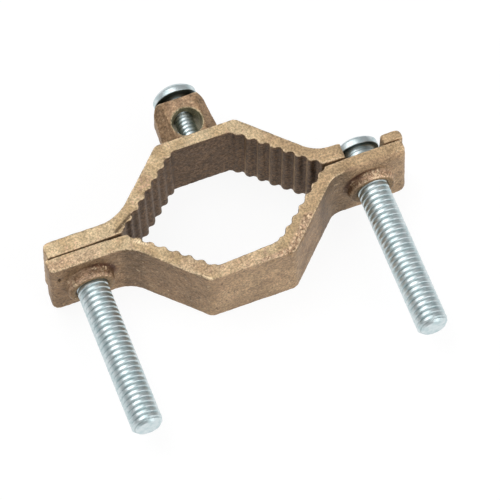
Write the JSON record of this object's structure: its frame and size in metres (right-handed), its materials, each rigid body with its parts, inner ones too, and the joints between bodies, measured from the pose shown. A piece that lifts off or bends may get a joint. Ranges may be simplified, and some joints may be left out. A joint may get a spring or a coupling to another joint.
{
  "type": "earthing pipe clamp",
  "caption": "Cast bronze earthing clamp: two toothed jaws close round a pipe, long machine screws draw them together, and a lug with a cross hole holds the wire.",
  "frame": {"origin": "on the pipe's axis, in the parting plane between the jaws, level with the axes of the clamp screws", "axes": "+X along the ears towards the slotted ear, +Y back towards the wire lug, +Z along the pipe"},
  "size_m": [0.0935, 0.0847, 0.0198],
  "materials": {
    "cast_bronze": "sand cast, tumbled, dull golden brown",
    "zinc_plated_steel": "bright bluish zinc plating"
  },
  "bodies": {
    "rear_jaw": {"rear_jaw": "cast_bronze"},
    "front_jaw": {"front_jaw": "cast_bronze"},
    "left_clamp_screw": {"left_clamp_screw": "zinc_plated_steel"},
    "right_clamp_screw": {"right_clamp_screw": "zinc_plated_steel"},
    "lug_screw": {"lug_screw": "zinc_plated_steel"}
  },
  "joints": [
    {"name": "jaw_swing", "type": "hinge", "parent": "rear_jaw", "child": "left_clamp_screw", "pos_m": [-0.0368, 0, 0], "axis": [0, -1, 0], "range_deg": [0, 170]},
    {"name": "jaw_travel", "type": "slide", "parent": "left_clamp_screw", "child": "front_jaw", "axis": [0, -1, 0], "range_m": [0, 0.034]},
    {"name": "right_screw_travel", "type": "slide", "parent": "front_jaw", "child": "right_clamp_screw", "axis": [0, 1, 0], "range_m": [0, 0.034]},
    {"name": "lug_screw_travel", "type": "slide", "parent": "rear_jaw", "child": "lug_screw", "axis": [0, 1, 0], "range_m": [0, 0.0075]}
  ],
  "couplings": [
    {"joint": "right_screw_travel", "follows": "jaw_travel", "ratio": 1}
  ]
}
